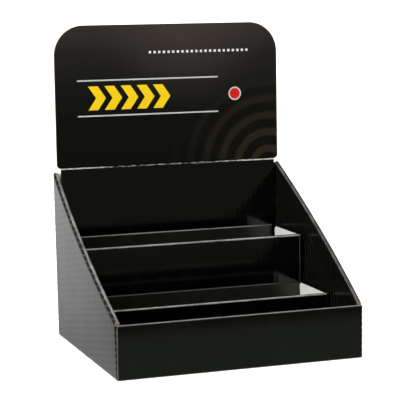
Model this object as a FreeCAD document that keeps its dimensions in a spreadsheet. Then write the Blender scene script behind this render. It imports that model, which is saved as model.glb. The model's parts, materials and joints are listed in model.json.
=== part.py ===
"""Counter display stand: a tray, two step inserts and a header card, each folded from one sheet of board."""

import FreeCAD, Part
import math
import os
import Sketcher

# Driving dimensions in millimetres and degrees: name, value and what it sets.
SIZES = (
    ("board", 2.4, "thickness of the corrugated board"),
    ("fold_gap", 0.3, "air between the two layers of a rolled-over wall"),
    ("fold_radius", 1.8, "outer radius of a fold"),
    ("tray_width", 260.0, "outer width of the tray at its base"),
    ("tray_depth", 227.0, "outer depth of the tray"),
    ("front_height", 55.0, "height of the front wall"),
    ("side_rear_height", 180.0, "height of the sides at the back"),
    ("back_drop", 2.0, "back wall below the rear end of the sides"),
    ("rim_spread_front", 0.8, "outward lean of a side's rim at the front"),
    ("rim_spread_rear", 2.0, "outward lean of a side's rim at the back"),
    ("rim_bulge", 3.6, "further outward bow of a side's rim at mid depth"),
    ("tab_length", 24.0, "corner tab behind the front panel"),
    ("tab_drop", 6.0, "top of a corner tab below the front rim"),
    ("tab_seam", 0.5, "cut between a corner tab and the inner panel"),
    ("lock_width", 26.0, "width of a locking tab under an inner panel"),
    ("side_lock_spacing", 104.0, "distance between the two locking tabs of a side"),
    ("front_lock_spacing", 120.0, "distance between the two locking tabs of the front"),
    ("lock_play", 0.4, "play of a locking tab in its slot"),
    ("insert_play", 1.2, "side play of the step inserts in the tray"),
    ("liner_play", 0.4, "side play of the back liner in the tray"),
    ("seat_play", 0.2, "play between an insert and what is behind it"),
    ("front_riser_setback", 71.8, "front step's riser behind the tray's front face"),
    ("rear_riser_setback", 143.5, "rear step's riser behind the tray's front face"),
    ("front_lip_height", 54.6, "top of the front step's lip"),
    ("rear_lip_height", 107.0, "top of the rear step's lip"),
    ("front_lip_gap", 0.3, "air inside the front step's lip"),
    ("rear_lip_gap", 2.2, "air inside the rear step's lip"),
    ("tread_recess", 20.0, "tread below the top of its lip"),
    ("flange_rise", 0.8, "rear flange above the top of its lip"),
    ("edge_crush", 1.4, "rounding of the printed side along a flange's die-cut edge"),
    ("lip_end_play", 0.8, "lip and tread short of the end flaps"),
    ("flap_length", 70.0, "length of an end flap along its top"),
    ("flap_taper", 13.0, "slant of a flap's rear edge"),
    ("flap_corner", 4.0, "bevel on a flap's upper rear corner"),
    ("header_width", 257.5, "width of the header"),
    ("header_height", 154.0, "height of the header above its score"),
    ("header_corner", 33.0, "radius of the header's upper corners"),
    ("shoulder_width", 2.4, "bevel under the header's lower corners, across"),
    ("shoulder_height", 3.2, "bevel under the header's lower corners, upwards"),
    ("header_lean", 0.9, "backward lean of the header"),
    ("score_height", 183.4, "height of the score between liner and header"),
    ("score_width", 2.6, "width of the crushed score line"),
    ("score_depth", 0.6, "depth of the crushed score line"),
)


def size(name):
    """Refer to one cell of the spreadsheet."""
    return f"Sizes.{name}"


# Sizes that follow from the driving dimensions, as expressions.
HALF_WIDTH = f"{size('tray_width')} / 2"
HALF_DEPTH = f"{size('tray_depth')} / 2"
WALL = f"(2 * {size('board')} + {size('fold_gap')})"
RIM_SLOPE = f"(({size('side_rear_height')} - {size('front_height')}) / {size('tray_depth')})"
RIM_DROP = f"({size('board')} * sqrt(1 + {RIM_SLOPE} ^ 2))"
INSERT_HALF = f"({HALF_WIDTH} - {WALL} - {size('insert_play')})"
LINER_HALF = f"({HALF_WIDTH} - {WALL} - {size('liner_play')})"
LINER_SETBACK = f"({size('tray_depth')} - 2 * {size('board')} - {size('seat_play')})"


def at_depth(setback):
    """Place a distance behind the tray's front face in the frame of the whole stand."""
    return f"({setback}) - {HALF_DEPTH}"


def make_sheet(doc):
    """Write the driving dimensions into a spreadsheet with one alias for each."""
    sheet = doc.addObject("Spreadsheet::Sheet", "Sizes")
    for row, (name, number, meaning) in enumerate(SIZES, start=1):
        sheet.set(f"A{row}", name)
        sheet.set(f"B{row}", str(number))
        sheet.setAlias(f"B{row}", name)
        sheet.set(f"C{row}", meaning)
    doc.recompute()
    return sheet


def value(doc, expression):
    """Work out an expression as a plain number."""
    result = doc.Sizes.evalExpression(expression)
    return float(getattr(result, "Value", result))


def origin_plane(body, role):
    """Find one of the body's own origin planes."""
    return next(item for item in body.Origin.OriginFeatures if item.Role == role)


def make_sketch(body, name, role, offset="0", lift="0", turn="0"):
    """Attach a sketch to an origin plane, moved along the plane's normal and upwards, and tilted."""
    sketch = body.newObject("Sketcher::SketchObject", name)
    sketch.AttachmentSupport = [(origin_plane(body, role), "")]
    sketch.MapMode = "FlatFace"
    about_across = FreeCAD.Rotation(FreeCAD.Vector(1, 0, 0), 1)
    sketch.AttachmentOffset = FreeCAD.Placement(FreeCAD.Vector(0, 0, 0), about_across)
    sketch.setExpression(".AttachmentOffset.Base.z", offset)
    sketch.setExpression(".AttachmentOffset.Base.y", lift)
    sketch.setExpression(".AttachmentOffset.Rotation.Angle", turn)
    return sketch


def draw_outline(sketch, corners):
    """Draw a closed outline whose corners are pairs of expressions."""
    doc = sketch.Document
    first = sketch.GeometryCount
    count = len(corners)
    spots = [FreeCAD.Vector(value(doc, across), value(doc, along), 0) for across, along in corners]
    for index, spot in enumerate(spots):
        sketch.addGeometry(Part.LineSegment(spot, spots[(index + 1) % count]), False)
    for index in range(count):
        follower = first + (index + 1) % count
        sketch.addConstraint(Sketcher.Constraint("Coincident", first + index, 2, follower, 1))
    for index, (across, along) in enumerate(corners):
        for kind, expression, number in (
            ("DistanceX", across, spots[index].x),
            ("DistanceY", along, spots[index].y),
        ):
            constraint = sketch.addConstraint(Sketcher.Constraint(kind, -1, 1, first + index, 1, number))
            sketch.setExpression(f"Constraints[{constraint}]", expression)


def draw_rectangle(sketch, left, right, low, high):
    """Draw a rectangle between four expressions."""
    draw_outline(sketch, ((left, low), (right, low), (right, high), (left, high)))


def add_pad(body, name, sketch, length, symmetric=False, backwards=False):
    """Extrude a sketch by a length given as an expression."""
    pad = body.newObject("PartDesign::Pad", name)
    pad.Profile = sketch
    pad.SideType = "Symmetric" if symmetric else "One side"
    pad.Reversed = backwards
    pad.setExpression("Length", length)
    body.Document.recompute()
    return pad


def add_pocket(body, name, sketch, length, symmetric=False, backwards=False):
    """Cut a sketch into the body and make sure that it removed something."""
    before = body.Shape.Volume
    pocket = body.newObject("PartDesign::Pocket", name)
    pocket.Profile = sketch
    pocket.SideType = "Symmetric" if symmetric else "One side"
    pocket.Reversed = backwards
    pocket.setExpression("Length", length)
    body.Document.recompute()
    if not pocket.Shape.Volume < before:
        raise RuntimeError(f"{name} cuts nothing")
    return pocket


def round_folds(body, name, radius, wanted):
    """Round the edges of the body's tip that the test picks, as folds."""
    tip = body.Tip
    edges = [f"Edge{index}" for index, edge in enumerate(tip.Shape.Edges, start=1) if wanted(edge)]
    if not edges:
        raise RuntimeError(f"{name} finds no edge")
    fillet = body.newObject("PartDesign::Fillet", name)
    fillet.Base = (tip, edges)
    fillet.setExpression("Radius", radius)
    body.Document.recompute()
    return fillet


def runs_across(edge, depth, height, reach=0.05):
    """Tell whether an edge runs across the stand at a given depth and height."""
    points = [vertex.Point for vertex in edge.Vertexes]
    if len(points) != 2 or abs(points[0].x - points[1].x) < 1:
        return False
    return all(abs(p.y - depth) < reach and abs(p.z - height) < reach for p in points)


def runs_up(edge, across, depth, reach=0.05):
    """Tell whether an edge runs upwards at a given place across and depth, on either side."""
    points = [vertex.Point for vertex in edge.Vertexes]
    if len(points) != 2 or abs(points[0].z - points[1].z) < 1:
        return False
    return all(abs(abs(p.x) - across) < reach and abs(p.y - depth) < reach for p in points)


def runs_along_rim(doc, edge):
    """Tell whether an edge is one of the two upper folds of a side."""
    points = [vertex.Point for vertex in edge.Vertexes]
    if len(points) != 2 or abs(points[0].y - points[1].y) < value(doc, HALF_DEPTH):
        return False
    for point in points:
        share = point.y / value(doc, size("tray_depth")) + 0.5
        if abs(point.z - value(doc, rim_height(share))) > 0.05:
            return False
    return True


def rim_height(share):
    """Height of a side's rim at a share of the depth."""
    return f"({size('front_height')} + ({size('side_rear_height')} - {size('front_height')}) * {share})"


def rim_spread(share):
    """Outward offset of a side's rim at a share of the depth."""
    front = f"{size('rim_spread_front')} * (1 - {share})"
    rear = f"{size('rim_spread_rear')} * {share}"
    return f"({front} + {rear} + {size('rim_bulge')} * 4 * {share} * (1 - {share}))"


def add_side_section(body, name, setback):
    """Sketch the folded section of the right side at a distance behind the front face."""
    share = f"(({setback}) / {size('tray_depth')})"
    top = rim_height(share)
    outer = f"({HALF_WIDTH} + {rim_spread(share)})"
    foot = f"{size('board')} / 2"
    sketch = make_sketch(body, name, "XZ_Plane", offset=f"{HALF_DEPTH} - ({setback})")
    corners = (
        (HALF_WIDTH, foot),
        (outer, top),
        (f"{outer} - {WALL}", top),
        (f"{HALF_WIDTH} - {WALL}", foot),
        (f"{HALF_WIDTH} - {WALL} + {size('board')}", foot),
        (f"{outer} - {WALL} + {size('board')}", f"{top} - {RIM_DROP}"),
        (f"{outer} - {size('board')}", f"{top} - {RIM_DROP}"),
        (f"{HALF_WIDTH} - {size('board')}", foot),
    )
    draw_outline(sketch, corners)
    return sketch


def add_sides(body):
    """Loft the right side through three sections, so that its rim bows outwards, and mirror it."""
    front_end = WALL
    rear_end = f"({size('tray_depth')} - {size('board')} / 2)"
    middle = f"(({front_end} + {rear_end}) / 2)"
    sections = [
        add_side_section(body, "side_section_front", front_end),
        add_side_section(body, "side_section_middle", middle),
        add_side_section(body, "side_section_rear", rear_end),
    ]
    side = body.newObject("PartDesign::AdditiveLoft", "side_right")
    side.Profile = sections[0]
    side.Sections = sections[1:]
    side.Ruled = False
    body.Document.recompute()
    mirrored = body.newObject("PartDesign::Mirrored", "side_left")
    mirrored.Originals = [side]
    mirrored.MirrorPlane = (origin_plane(body, "YZ_Plane"), [""])
    body.Tip = mirrored
    body.Document.recompute()
    round_folds(body, "side_rim_folds", size("fold_radius"), lambda edge: runs_along_rim(body.Document, edge))


def add_base(body):
    """Pad the base panel."""
    sketch = make_sketch(body, "base_outline", "XY_Plane")
    draw_rectangle(sketch, f"-{HALF_WIDTH}", HALF_WIDTH, f"-{HALF_DEPTH}", HALF_DEPTH)
    add_pad(body, "base", sketch, size("board"))


def add_front(body):
    """Pad the rolled-over front wall."""
    sketch = make_sketch(body, "front_section", "YZ_Plane")
    face = at_depth("0")
    inside = at_depth(WALL)
    top = size("front_height")
    corners = (
        (face, "0"),
        (face, top),
        (inside, top),
        (inside, f"{size('board')} / 2"),
        (at_depth(f"{size('board')} + {size('fold_gap')}"), f"{size('board')} / 2"),
        (at_depth(f"{size('board')} + {size('fold_gap')}"), f"{top} - {size('board')}"),
        (at_depth(size("board")), f"{top} - {size('board')}"),
        (at_depth(size("board")), "0"),
    )
    draw_outline(sketch, corners)
    add_pad(body, "front", sketch, size("tray_width"), symmetric=True)
    doc = body.Document
    face_depth = value(doc, face)
    inside_depth = value(doc, inside)
    height = value(doc, top)
    round_folds(body, "front_folds", size("fold_radius"),
                lambda edge: runs_across(edge, face_depth, height) or runs_across(edge, inside_depth, height)
                or runs_across(edge, face_depth, 0))


def add_tab_seams(body):
    """Cut the seams that part the corner tabs of the sides from the front's inner panel."""
    tab_end = f"({HALF_WIDTH} - {size('tab_length')})"
    tab_top = f"({size('front_height')} - {size('tab_drop')})"
    seam_end = f"({tab_end} - {size('tab_seam')})"
    seam_top = f"({tab_top} + {size('tab_seam')})"
    for side, sign in (("left", "-1"), ("right", "1")):
        sketch = make_sketch(body, f"tab_seam_{side}_outline", "XZ_Plane", offset=f"{HALF_DEPTH} - {WALL}")
        corners = (
            (f"{sign} * {seam_end}", size("board")),
            (f"{sign} * {tab_end}", size("board")),
            (f"{sign} * {tab_end}", tab_top),
            (f"{sign} * ({HALF_WIDTH} - {WALL})", tab_top),
            (f"{sign} * ({HALF_WIDTH} - {WALL})", seam_top),
            (f"{sign} * {seam_end}", seam_top),
        )
        draw_outline(sketch, corners)
        add_pocket(body, f"tab_seam_{side}", sketch, f"{size('board')} + {size('fold_gap')} / 2",
                   backwards=True)


def lock_places():
    """Give the name and the corners of each locking tab of the inner panels, as expressions."""
    inner_edge = f"({HALF_WIDTH} - {WALL})"
    front_edge = f"({HALF_DEPTH} - {WALL})"
    half = f"{size('lock_width')} / 2"
    for side, sign in (("left", "-1"), ("right", "1")):
        for end, way in (("front", "-1"), ("rear", "1")):
            middle = f"{way} * {size('side_lock_spacing')} / 2"
            yield (f"{side}_{end}", f"{sign} * {inner_edge}", f"{sign} * ({inner_edge} + {size('board')})",
                   f"{middle} - {half}", f"{middle} + {half}", sign, "1")
        middle = f"{sign} * {size('front_lock_spacing')} / 2"
        yield (f"front_{side}", f"{middle} - {half}", f"{middle} + {half}",
               f"-1 * {front_edge}", f"-1 * ({front_edge} + {size('board')})", "1", "-1")


def add_locks(body):
    """Cut the slots in the base and fill each with its locking tab, flush with the underside."""
    play = size("lock_play")
    places = list(lock_places())
    for name, near, far, low, high, across, along in places:
        slot = make_sketch(body, f"slot_{name}_outline", "XY_Plane")
        draw_rectangle(slot, f"{near} - {across} * {play}", f"{far} + {across} * {play}",
                       f"{low} - {along} * {play}", f"{high} + {along} * {play}")
        add_pocket(body, f"slot_{name}", slot, size("board"), backwards=True)
    for name, near, far, low, high, _, _ in places:
        tab = make_sketch(body, f"lock_{name}_outline", "XY_Plane")
        draw_rectangle(tab, near, far, low, high)
        add_pad(body, f"lock_{name}", tab, size("board"))


def add_back(body):
    """Pad the single back wall, which widens upwards with the lean of the sides."""
    sketch = make_sketch(body, "back_outline", "XZ_Plane", offset=f"-{HALF_DEPTH}")
    top = f"({size('side_rear_height')} - {size('back_drop')})"
    top_half = f"({HALF_WIDTH} + {size('rim_spread_rear')})"
    corners = ((f"-{HALF_WIDTH}", "0"), (HALF_WIDTH, "0"), (top_half, top), (f"-{top_half}", top))
    draw_outline(sketch, corners)
    add_pad(body, "back", sketch, size("board"))


def build_tray(doc):
    """Build the tray from its base, rolled-over front and sides, and back wall."""
    body = doc.addObject("PartDesign::Body", "tray")
    add_base(body)
    add_front(body)
    add_tab_seams(body)
    add_sides(body)
    add_back(body)
    add_locks(body)
    return body


def step_section(setback, back, lip_height, lip_gap):
    """Give the folded section of a step insert behind its riser's front face."""
    lip = f"(2 * {size('board')} + {lip_gap})"
    tread = f"({lip_height} - {size('tread_recess')})"
    flange_top = f"({lip_height} + {size('flange_rise')})"
    inner = f"{setback} + {size('board')} + {lip_gap}"
    return (
        (at_depth(setback), size("board")),
        (at_depth(setback), lip_height),
        (at_depth(f"{setback} + {lip}"), lip_height),
        (at_depth(f"{setback} + {lip}"), tread),
        (at_depth(f"{back} - {size('board')}"), tread),
        (at_depth(f"{back} - {size('board')}"), flange_top),
        (at_depth(back), flange_top),
        (at_depth(back), f"{tread} - {size('board')}"),
        (at_depth(inner), f"{tread} - {size('board')}"),
        (at_depth(inner), f"{lip_height} - {size('board')}"),
        (at_depth(f"{setback} + {size('board')}"), f"{lip_height} - {size('board')}"),
        (at_depth(f"{setback} + {size('board')}"), size("board")),
    )


def add_flap(body, side, setback, lip_height):
    """Pad one end flap, folded back from the riser's end, with its tapered rear edge."""
    sign = "-1" if side == "left" else "1"
    rear = f"{setback} + {size('flap_length')}"
    reach = f"({lip_height} - {size('flap_corner')} - {size('board')})"
    foot = f"{rear} - {reach} * tan({size('flap_taper')})"
    outer = f"{sign} * {INSERT_HALF}"
    sketch = make_sketch(body, f"flap_{side}_outline", "YZ_Plane", offset=outer)
    corners = (
        (at_depth(setback), size("board")),
        (at_depth(foot), size("board")),
        (at_depth(rear), f"{lip_height} - {size('flap_corner')}"),
        (at_depth(f"{rear} - {size('flap_corner')}"), lip_height),
        (at_depth(setback), lip_height),
    )
    draw_outline(sketch, corners)
    add_pad(body, f"flap_{side}", sketch, size("board"), backwards=side == "right")


def build_step(doc, name, setback, back, lip_height, lip_gap):
    """Build one step insert: riser, double lip, sunk tread, rear flange and two end flaps."""
    body = doc.addObject("PartDesign::Body", name)
    riser = make_sketch(body, "riser_outline", "XZ_Plane", offset=f"{HALF_DEPTH} - ({setback})")
    draw_rectangle(riser, f"-{INSERT_HALF}", INSERT_HALF, size("board"), lip_height)
    add_pad(body, "riser", riser, size("board"), backwards=True)
    section = make_sketch(body, "folded_section", "YZ_Plane")
    draw_outline(section, step_section(setback, back, lip_height, lip_gap))
    inner_width = f"2 * ({INSERT_HALF} - {size('board')} - {size('lip_end_play')})"
    add_pad(body, "lip_tread_and_flange", section, inner_width, symmetric=True)
    for side in ("left", "right"):
        add_flap(body, side, setback, lip_height)
    face = value(doc, at_depth(setback))
    lip_back = value(doc, at_depth(f"{setback} + 2 * {size('board')} + {lip_gap}"))
    top = value(doc, lip_height)
    end = value(doc, INSERT_HALF)
    round_folds(body, "outer_folds", size("fold_radius"),
                lambda edge: runs_across(edge, face, top) or runs_across(edge, lip_back, top)
                or runs_up(edge, end, face))
    flange_face = value(doc, at_depth(f"{back} - {size('board')}"))
    flange_top = value(doc, f"{lip_height} + {size('flange_rise')}")
    round_folds(body, "flange_edge", size("edge_crush"),
                lambda edge: runs_across(edge, flange_face, flange_top))
    return body


def build_header_card(doc):
    """Build the back liner and, above its score, the wider header."""
    body = doc.addObject("PartDesign::Body", "header_card")
    plane_offset = f"{HALF_DEPTH} - {LINER_SETBACK}"
    liner = make_sketch(body, "liner_outline", "XZ_Plane", offset=plane_offset)
    draw_rectangle(liner, f"-{LINER_HALF}", LINER_HALF, size("board"), size("score_height"))
    add_pad(body, "liner", liner, size("board"), backwards=True)
    header = make_sketch(body, "header_outline", "XZ_Plane", offset=plane_offset,
                         lift=size("score_height"), turn=f"-{size('header_lean')}")
    half = f"{size('header_width')} / 2"
    corners = (
        (f"-({half} - {size('shoulder_width')})", "0"),
        (f"{half} - {size('shoulder_width')}", "0"),
        (half, size("shoulder_height")),
        (half, size("header_height")),
        (f"-{half}", size("header_height")),
        (f"-{half}", size("shoulder_height")),
    )
    draw_outline(header, corners)
    add_pad(body, "header", header, size("board"), backwards=True)
    round_header(body)
    add_score(body)
    return body


def round_header(body):
    """Round the two upper corners of the header."""
    doc = body.Document
    half = value(doc, f"{size('header_width')} / 2")
    top = value(doc, size("score_height")) + value(doc, size("header_height"))
    lean = math.radians(value(doc, size("header_lean")))
    drop = value(doc, size("header_height")) * (1 - math.cos(lean)) + value(doc, size("board"))

    def is_corner(edge):
        points = [vertex.Point for vertex in edge.Vertexes]
        if len(points) != 2 or abs(points[0].y - points[1].y) < 1:
            return False
        return all(abs(abs(p.x) - half) < 0.01 and abs(p.z - top) < drop for p in points)

    round_folds(body, "header_corners", size("header_corner"), is_corner)


def add_score(body):
    """Press the score line into the card's front where the header folds."""
    sketch = make_sketch(body, "score_section", "YZ_Plane")
    face = at_depth(LINER_SETBACK)
    middle = size("score_height")
    corners = (
        (f"{face} - {size('score_depth')}", f"{middle} - {size('score_width')}"),
        (f"{face} + {size('score_depth')}", middle),
        (f"{face} - {size('score_depth')}", f"{middle} + {size('score_width')}"),
    )
    draw_outline(sketch, corners)
    add_pocket(body, "score", sketch, size("header_width"), symmetric=True)


def check_and_export(doc, parts):
    """Refuse failed features and bad shapes, then write one file for each piece."""
    for item in doc.Objects:
        if "Invalid" in item.State or "Error" in item.State:
            raise RuntimeError(f"{item.Name} failed: {item.State}")
    for part in parts:
        if part.Shape.isNull() or not part.Shape.isValid() or len(part.Shape.Solids) != 1:
            raise RuntimeError(f"{part.Label} has no valid single solid")
    os.makedirs("parts", exist_ok=True)
    for part in parts:
        part.Shape.exportStep(f"parts/{part.Label}.step")
        print(f"{part.Label}: {part.Shape.Volume / 1000:.1f} cm3")


def main():
    """Build the stand."""
    doc = FreeCAD.newDocument("display_stand")
    make_sheet(doc)
    front_back = f"({size('rear_riser_setback')} - {size('seat_play')})"
    rear_back = f"({LINER_SETBACK} - {size('seat_play')})"
    parts = [
        build_tray(doc),
        build_header_card(doc),
        build_step(doc, "step_rear", size("rear_riser_setback"), rear_back,
                   size("rear_lip_height"), size("rear_lip_gap")),
        build_step(doc, "step_front", size("front_riser_setback"), front_back,
                   size("front_lip_height"), size("front_lip_gap")),
    ]
    check_and_export(doc, parts)


main()
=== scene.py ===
"""Looks of a cardboard counter display stand: printed board, liner, cut edges, worn folds with painted
highlights, strips of painted shade and a studio.
"""

import json
import logging
import math
from dataclasses import dataclass, field
from enum import Enum
from typing import Callable

import bmesh
import bpy
from mathutils import Matrix, Quaternion, Vector

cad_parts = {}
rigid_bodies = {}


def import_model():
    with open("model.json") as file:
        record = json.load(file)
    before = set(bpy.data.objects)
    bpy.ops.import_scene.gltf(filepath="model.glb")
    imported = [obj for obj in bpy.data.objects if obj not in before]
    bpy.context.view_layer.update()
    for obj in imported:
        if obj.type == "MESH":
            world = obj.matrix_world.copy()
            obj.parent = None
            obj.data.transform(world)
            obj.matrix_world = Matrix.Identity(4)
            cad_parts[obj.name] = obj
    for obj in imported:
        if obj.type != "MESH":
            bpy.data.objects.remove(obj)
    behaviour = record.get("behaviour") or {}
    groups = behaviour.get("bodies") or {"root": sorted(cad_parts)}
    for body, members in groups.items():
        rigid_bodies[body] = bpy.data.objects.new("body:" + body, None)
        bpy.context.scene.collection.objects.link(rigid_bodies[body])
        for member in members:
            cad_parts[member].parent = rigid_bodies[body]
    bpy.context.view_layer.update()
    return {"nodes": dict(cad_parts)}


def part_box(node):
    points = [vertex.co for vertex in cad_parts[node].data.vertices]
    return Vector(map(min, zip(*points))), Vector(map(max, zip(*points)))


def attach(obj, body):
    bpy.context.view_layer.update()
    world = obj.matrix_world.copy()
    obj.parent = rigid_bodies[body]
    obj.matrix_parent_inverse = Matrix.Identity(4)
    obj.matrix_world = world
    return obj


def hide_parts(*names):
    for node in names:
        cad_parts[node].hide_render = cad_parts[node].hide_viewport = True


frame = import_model()

logging.basicConfig(level=logging.INFO, format="%(message)s")
LOG = logging.getLogger("display_stand")

MM = 0.001
MERGE_REACH = 0.002 * MM
FLAT_ANGLE = math.radians(0.2)
SMOOTH_ANGLE = math.radians(35)

# Sizes of the board and the tray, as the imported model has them
BOARD = 2.4 * MM
FLUTE_PITCH = 6.5 * MM
TRAY_DEPTH = 227 * MM
FRONT_HEIGHT = 55 * MM
SIDE_REAR_HEIGHT = 180 * MM
SCORE_HEIGHT = 183.4 * MM
SIDE_FLUTE_RISE = math.radians(11)
RIM_FALL = math.atan2(SIDE_REAR_HEIGHT - FRONT_HEIGHT, TRAY_DEPTH)

RIGHT = Vector((1, 0, 0))
BACK = Vector((0, 1, 0))
UP = Vector((0, 0, 1))

# A face looks some way when its normal's share along that way passes one of these
WHOLLY = 0.999
SQUARELY = 0.99
NEARLY = 0.95
MOSTLY = 0.9
HALFWAY = 0.5
ASKEW = 0.2
SLIGHTLY = 0.1

# A face lies on a plane when its middle is this near
TOUCHING = 0.1 * MM
CLOSE = 0.2 * MM
NEAR = 0.5 * MM
BESIDE = 1 * MM

# Octaves of a noise, from a smooth swell to paper fibre
SWELL = 1.0
GRAIN = 2.0
FLECK = 3.0
FIBRE = 4.0
CLOUD = 5.0
RUB = 6.0


def linear(colour: str) -> tuple[float, float, float, float]:
    """Turn an sRGB hex colour into linear light.

    Args:
        colour: A colour such as "#1a1b16".

    Returns:
        Red, green and blue in linear light, and an alpha of one.
    """
    parts = [int(colour[start:start + 2], 16) / 255 for start in (1, 3, 5)]
    red, green, blue = (p / 12.92 if p <= 0.04045 else ((p + 0.055) / 1.055) ** 2.4 for p in parts)
    return red, green, blue, 1.0


def add_node(tree: bpy.types.NodeTree, kind: str, feeds: dict | None = None, **options) -> bpy.types.Node:
    """Add a node with its settings and links.

    Args:
        tree: The node tree of a material.
        kind: The node's type name.
        feeds: For inputs, by name or number, a value or the output socket that feeds it.
        options: Settings of the node itself, such as its operation.

    Returns:
        The new node.
    """
    node = tree.nodes.new(kind)
    for option, choice in options.items():
        setattr(node, option, choice)
    for key, source in (feeds or {}).items():
        if isinstance(source, bpy.types.NodeSocket):
            tree.links.new(source, node.inputs[key])
        else:
            node.inputs[key].default_value = source
    return node


def start_material(name: str) -> tuple[bpy.types.Material, bpy.types.NodeTree, bpy.types.NodeSocket]:
    """Start a material with nodes.

    Args:
        name: The name of the real material and process.

    Returns:
        The material, its emptied node tree and its object coordinates.
    """
    material = bpy.data.materials.new(name)
    material.use_nodes = True
    tree = material.node_tree
    tree.nodes.clear()
    place = add_node(tree, "ShaderNodeTexCoord").outputs["Object"]
    return material, tree, place


def end_material(tree: bpy.types.NodeTree, shader: bpy.types.Node) -> None:
    """Link the finished shader to the material's output.

    Args:
        tree: The node tree of the material.
        shader: The surface shader.
    """
    add_node(tree, "ShaderNodeOutputMaterial", {"Surface": shader.outputs[0]})


def flute_crests(tree: bpy.types.NodeTree, place: bpy.types.NodeSocket, way: tuple[float, float, float],
                 least: float) -> bpy.types.NodeSocket:
    """Find the crests of the board's flutes.

    Args:
        tree: The node tree of a material.
        place: The object coordinates.
        way: The way across the flutes.
        least: The height of the flutes' wave where a crest begins.

    Returns:
        One on the crests, and zero between them.
    """
    along = add_node(tree, "ShaderNodeVectorMath", {0: place, 1: way}, operation="DOT_PRODUCT")
    turn = add_node(tree, "ShaderNodeMath", {
        0: along.outputs["Value"], 1: math.tau / FLUTE_PITCH}, operation="MULTIPLY")
    wave = add_node(tree, "ShaderNodeMath", {0: turn.outputs[0]}, operation="COSINE")
    return add_node(tree, "ShaderNodeMapRange", {"Value": wave.outputs[0], "From Min": least}).outputs[0]


def select_only(item: bpy.types.Object) -> None:
    """Deselect everything, then select one object and make it active.

    Args:
        item: The object to work on.
    """
    for other in bpy.context.scene.objects:
        other.select_set(False)
    item.select_set(True)
    bpy.context.view_layer.objects.active = item


@dataclass(frozen=True)
class GlossLaminate:
    """Black litho print under gloss film, laid on corrugated board.

    The eye sees a black that takes its tone from what it mirrors, with slow warps where the board
    isn't flat,
    a fine orange peel of the film and faint rubbed patches. The real peel is finer than the render shows, so
    it is drawn a few times coarser.
    """

    name: str = "gloss_film_on_black_litho_print"
    ink: str = "#020202"
    rubbed_ink: str = "#050603"
    roughness: float = 0.11
    rubbed_roughness: float = 0.17
    ior: float = 1.45
    warp_size: float = 48 * MM
    warp_depth: float = 0.20 * MM
    peel_size: float = 1.4 * MM
    peel_depth: float = 0.004 * MM
    rub_size: float = 22 * MM
    rub_from: float = 0.52
    rub_to: float = 0.72
    scuff_size: float = 4 * MM
    # Lighter ink along the flute crests: a painted highlight standing in for glints of the light on the
    # flutes.
    crest_highlight_ink: str = "#2a2a26"
    crest_way: tuple[float, float, float] | None = None
    crest_from: float = 0.1

    def relief(self, tree: bpy.types.NodeTree, place: bpy.types.NodeSocket) -> bpy.types.NodeSocket:
        """Add the slow warp of the board and the fine peel of its film.

        Args:
            tree: The node tree of a material.
            place: The object coordinates.

        Returns:
            The bent surface normal.
        """
        warp = add_node(tree, "ShaderNodeTexNoise", {
            "Vector": place, "Scale": 1 / self.warp_size, "Detail": SWELL})
        slow = add_node(tree, "ShaderNodeBump", {"Height": warp.outputs[0], "Distance": self.warp_depth})
        peel = add_node(tree, "ShaderNodeTexNoise", {
            "Vector": place, "Scale": 1 / self.peel_size, "Detail": GRAIN})
        fine = add_node(tree, "ShaderNodeBump", {
            "Height": peel.outputs[0], "Distance": self.peel_depth, "Normal": slow.outputs[0]})
        return fine.outputs[0]

    def paint_crest_highlights(self, tree: bpy.types.NodeTree, place: bpy.types.NodeSocket,
                   ink: bpy.types.NodeSocket) -> bpy.types.NodeSocket:
        """Paint a highlight along the crests of the flutes: lighter ink that stands in for glints on their
        slopes.

        Args:
            tree: The node tree of a material.
            place: The object coordinates.
            ink: The colour of the ink.

        Returns:
            The colour with the painted crest highlight.
        """
        crest = flute_crests(tree, place, self.crest_way, self.crest_from)
        worn = add_node(tree, "ShaderNodeTexNoise", {
            "Vector": place, "Scale": 1 / self.scuff_size, "Detail": FLECK})
        share = add_node(tree, "ShaderNodeMath", {0: crest, 1: worn.outputs[0]}, operation="MULTIPLY")
        rubbed = add_node(tree, "ShaderNodeMix", {
            "Factor": share.outputs[0], "A": ink, "B": linear(self.crest_highlight_ink)}, data_type="RGBA")
        return rubbed.outputs["Result"]

    def make(self) -> bpy.types.Material:
        """Build the material.

        Returns:
            The finished material.
        """
        material, tree, place = start_material(self.name)
        rubs = add_node(tree, "ShaderNodeTexNoise", {
            "Vector": place, "Scale": 1 / self.rub_size, "Detail": RUB})
        share = add_node(tree, "ShaderNodeMapRange", {
            "Value": rubs.outputs[0], "From Min": self.rub_from, "From Max": self.rub_to},
            interpolation_type="SMOOTHSTEP")
        mixed = add_node(tree, "ShaderNodeMix", {
            "Factor": share.outputs[0], "A": linear(self.ink), "B": linear(self.rubbed_ink)},
            data_type="RGBA")
        ink = mixed.outputs["Result"]
        # The flute crests get a painted highlight.
        if self.crest_way:
            ink = self.paint_crest_highlights(tree, place, ink)
        gloss = add_node(tree, "ShaderNodeMapRange", {
            "Value": share.outputs[0], "To Min": self.roughness, "To Max": self.rubbed_roughness})
        shader = add_node(tree, "ShaderNodeBsdfPrincipled", {
            "Base Color": ink, "Roughness": gloss.outputs[0], "IOR": self.ior,
            "Normal": self.relief(tree, place)})
        end_material(tree, shader)
        return material


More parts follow.
